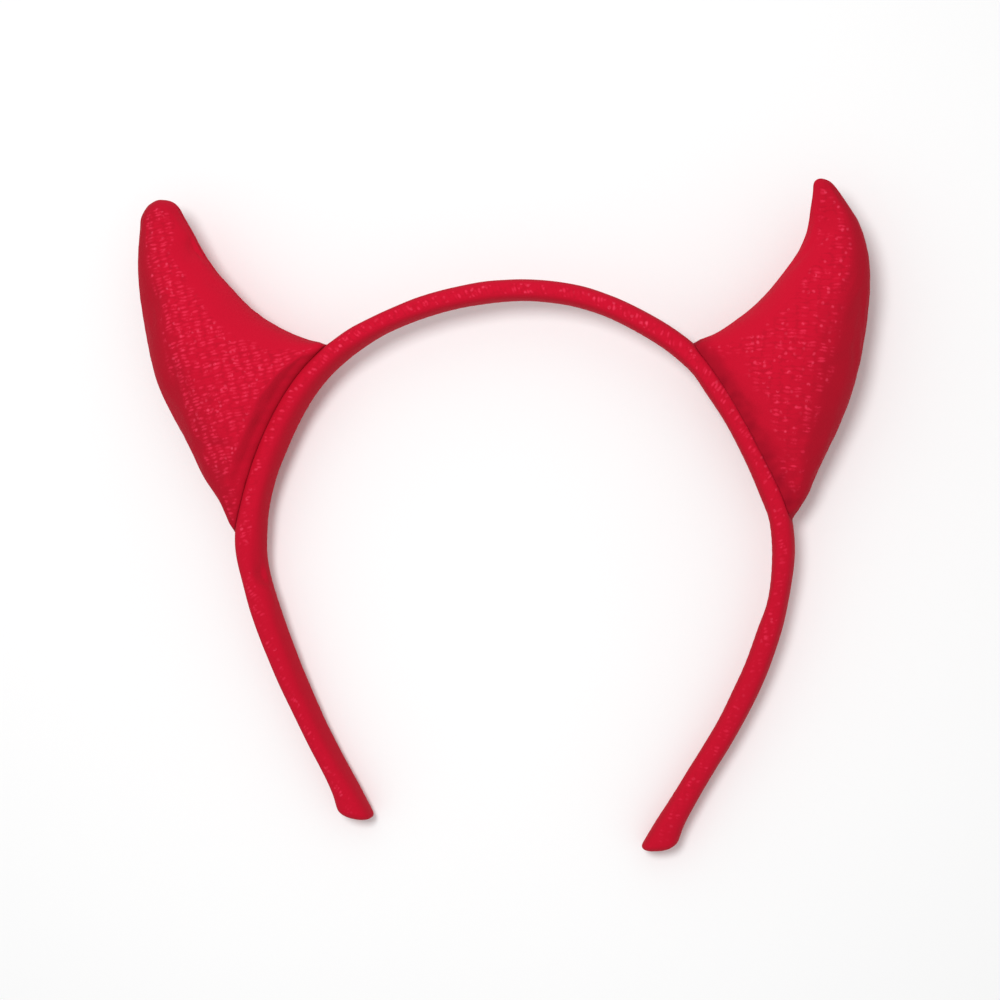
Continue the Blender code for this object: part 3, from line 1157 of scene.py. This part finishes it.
@dataclass
class BaseStitches:
    """Small slanting stitches that close the joint between a horn and the band."""

    horn: Solid
    finish: Thread
    plane: HoopPlane
    clear_of_seam: float = 2.2 * MM
    pitch: float = 3.2 * MM
    length: float = 1.5 * MM
    thickness: float = 0.26 * MM
    slant_deg: float = 28.0

    def rim(self) -> list[Vector]:
        """Follows the edge of the horn's underside.

        Returns:
            The edge's points, in order round it.
        """
        mesh = self.horn.merged()
        links: dict[bmesh.types.BMVert, list[bmesh.types.BMVert]] = {}
        for edge in seat_edges(mesh):
            for vertex in edge.verts:
                links.setdefault(vertex, []).append(edge.other_vert(vertex))
        start = min(links, key=lambda vertex: tuple(vertex.co))
        loop = [start, links[start][0]]
        while loop[-1] is not start:
            ahead = [vertex for vertex in links[loop[-1]] if vertex is not loop[-2]]
            loop.append(ahead[0])
        points = [vertex.co.copy() for vertex in loop]
        mesh.free()
        return points

    def build(self) -> bpy.types.Object:
        """Makes every stitch, and joins them into one piece.

        Returns:
            The piece.
        """
        rim = self.rim()
        lengths = [(after - before).length for before, after in zip(rim, rim[1:])]
        count = round(sum(lengths) / self.pitch)
        travelled = np.concatenate(([0.0], np.cumsum(lengths)))
        band = Solid.BAND.tree()
        mesh = bmesh.new()
        for step in range(count):
            place = sum(lengths) * (step + 0.5) / count
            index = int(np.searchsorted(travelled, place)) - 1
            before, after = rim[index], rim[index + 1]
            point = before.lerp(after, (place - travelled[index]) / lengths[index])
            if abs(self.plane.flat(np.array([point]))[0, 2]) < self.clear_of_seam:
                continue
            surface, outward, _, _ = band.find_nearest(point)
            self._stitch(mesh, surface, (after - before).normalized(), outward)
        stitches = new_object(f"{self.horn.value}_stitches", mesh)
        stitches.data.materials.append(self.finish.made())
        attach(stitches, "root")
        return stitches

    def _stitch(self, mesh: bmesh.types.BMesh, point: Vector, along: Vector, outward: Vector) -> None:
        """Adds one stitch.

        Args:
            mesh: The stitches so far.
            point: Where the stitch crosses the joint.
            along: The joint's direction there.
            outward: The band's outward direction there.
        """
        across = outward.cross(along).normalized()
        slant = math.radians(self.slant_deg)
        direction = (across * math.cos(slant) + along * math.sin(slant)).normalized()
        side = outward.cross(direction).normalized()
        turn = Matrix((direction, side, outward)).transposed().to_4x4()
        size = Matrix.Diagonal((self.length / 2, self.thickness / 2, self.thickness / 2, 1.0))
        move = Matrix.Translation(point + outward * self.thickness * 0.45)
        bmesh.ops.create_uvsphere(mesh, u_segments=8, v_segments=6, radius=1.0, matrix=move @ turn @ size)


@dataclass
class Studio:
    """The floor, the light and the camera."""

    plane: HoopPlane
    paper: PalePaper
    aim_across: float = 1.4 * MM
    aim_up: float = 4.8 * MM
    turned_deg: float = 8.0
    distance: float = 0.5
    view_width: float = 0.26
    sensor: float = 36.0
    floor_size: float = 3.0
    key_power: float = 1.9
    key_size: float = 0.20
    key_distance: float = 0.62
    key_aim: tuple[float, float, float] = (-0.10, 0.14, 1.0)
    sky_strength: float = 0.60

    def build(self) -> None:
        """Sets up the floor, the sky, the key light and the camera."""
        self._floor()
        self._sky()
        self._key()
        self._camera()

    def _floor(self) -> None:
        """Adds a pale floor just under the headband."""
        mesh = bmesh.new()
        bmesh.ops.create_grid(mesh, x_segments=2, y_segments=2, size=self.floor_size)
        bmesh.ops.translate(mesh, verts=mesh.verts, vec=(0.0, 0.0, -0.02 * MM))
        floor = new_object("floor", mesh)
        floor.data.materials.append(self.paper.made())

    def _sky(self) -> None:
        """Lights everything evenly from all round."""
        world = bpy.data.worlds.new("studio_sky")
        world.use_nodes = True
        background = world.node_tree.nodes["Background"]
        background.inputs["Color"].default_value = (1.0, 1.0, 1.0, 1.0)
        background.inputs["Strength"].default_value = self.sky_strength
        bpy.context.scene.world = world
        bpy.context.scene.view_settings.view_transform = "Standard"

    def _key(self) -> None:
        """Adds the soft light beside the camera, a little to the left."""
        aim = Vector(self.key_aim).normalized()
        light = bpy.data.lights.new("key", "AREA")
        light.shape = "DISK"
        light.size = self.key_size
        light.energy = self.key_power
        lamp = bpy.data.objects.new("key", light)
        lamp.location = self.plane.place(self.aim_across, self.aim_up) + aim * self.key_distance
        lamp.rotation_euler = aim.to_track_quat("Z", "Y").to_euler()
        bpy.context.scene.collection.objects.link(lamp)

    def _camera(self) -> None:
        """Looks straight at the hoop's plane, a little from the right."""
        turned = math.radians(self.turned_deg)
        right = Vector(math.cos(turned) * self.plane.across - math.sin(turned) * self.plane.front)
        back = Vector(math.sin(turned) * self.plane.across + math.cos(turned) * self.plane.front)
        data = bpy.data.cameras.new("camera")
        data.sensor_width = self.sensor
        data.lens = self.sensor * self.distance / self.view_width
        camera = bpy.data.objects.new("camera", data)
        axes = Matrix((right, Vector(self.plane.up), back)).transposed().to_4x4()
        aim = self.plane.place(self.aim_across, self.aim_up)
        camera.matrix_world = Matrix.Translation(aim + back * self.distance) @ axes
        bpy.context.scene.collection.objects.link(camera)
        bpy.context.scene.camera = camera


def main() -> None:
    """Builds the headband's pieces and the studio, and logs the hoop's plane and the pieces' triangles."""
    logging.basicConfig(level=logging.INFO, format="%(message)s")
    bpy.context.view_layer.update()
    plane = HoopPlane.of_the_band()
    tilt = math.degrees(math.acos(plane.front[2]))
    LOG.info("hoop plane tilted %.2f degrees, %.2f mm up", tilt, plane.middle / MM)
    band_velour = Velour(
        "sleeve_velour",
        shaded=(0.46, 0.006, 0.021),
        row_turn_deg=66.0,
        by_uv=True,
        dash_length=2.0 * MM,
        bare_dashes=0.3,
    )
    left_velour = Velour("left_horn_velour", row_turn_deg=14.0)
    right_velour = Velour("right_horn_velour", row_turn_deg=-4.0, bare_dashes=0.45, bare_sparks=0.76)
    horn_stuffing = Stuffing(pressure=12.0, most=0.5 * MM, slack=0.004)
    band_stuffing = Stuffing(pressure=8.0, most=0.15 * MM, slack=0.002)
    horns = (Solid.HORN_LEFT, Solid.HORN_RIGHT)
    leg_fold = (
        Dimple(-61.2 * MM, -14.7 * MM, reach=2.4 * MM, depth=0.8 * MM),
        Dimple(-59.1 * MM, -18.6 * MM, reach=1.6 * MM, depth=-0.35 * MM),
        Dimple(-57.2 * MM, -21.2 * MM, reach=1.6 * MM, depth=-0.35 * MM),
    )
    on_band = (Solid.BAND,)
    pieces = [
        PaddedBand(
            Solid.BAND,
            Slot.BAND,
            band_velour,
            band_stuffing,
            0.7,
            plane,
            horns,
            light_lean=(0.1, 0.15),
            light_range=(0.2, 1.0),
            dimples=leg_fold,
        ),
        StuffedHorn(
            Solid.HORN_LEFT,
            Slot.HORNS,
            left_velour,
            horn_stuffing,
            0.85,
            plane,
            on_band,
            light_lean=(0.45, 0.40),
            dimples=(Dimple(-79.6 * MM, 71.9 * MM, depth=1.1 * MM),),
            lap=0.6 * MM,
            shoulder=0.35 * MM,
            valley=0.7 * MM,
        ),
        StuffedHorn(
            Solid.HORN_RIGHT,
            Slot.HORNS,
            right_velour,
            horn_stuffing,
            0.85,
            plane,
            on_band,
            light_lean=(-0.45, 0.45),
            dimples=(Dimple(85.3 * MM, 76.3 * MM, depth=1.1 * MM),),
            lap=1.2 * MM,
            valley=2.8 * MM,
            valley_shade=0.58,
        ),
    ]
    for piece in pieces:
        if isinstance(piece, StuffedHorn):
            piece.band_cloth = tree_of(pieces[0].obj)
        made = piece.build()
        LOG.info("%s: %d triangles", made.name, triangles_in(made))
    for horn in horns:
        made = BaseStitches(horn, Thread(), plane).build()
        LOG.info("%s: %d triangles", made.name, triangles_in(made))
    Studio(plane, PalePaper()).build()


if __name__ == "__main__":
    main()
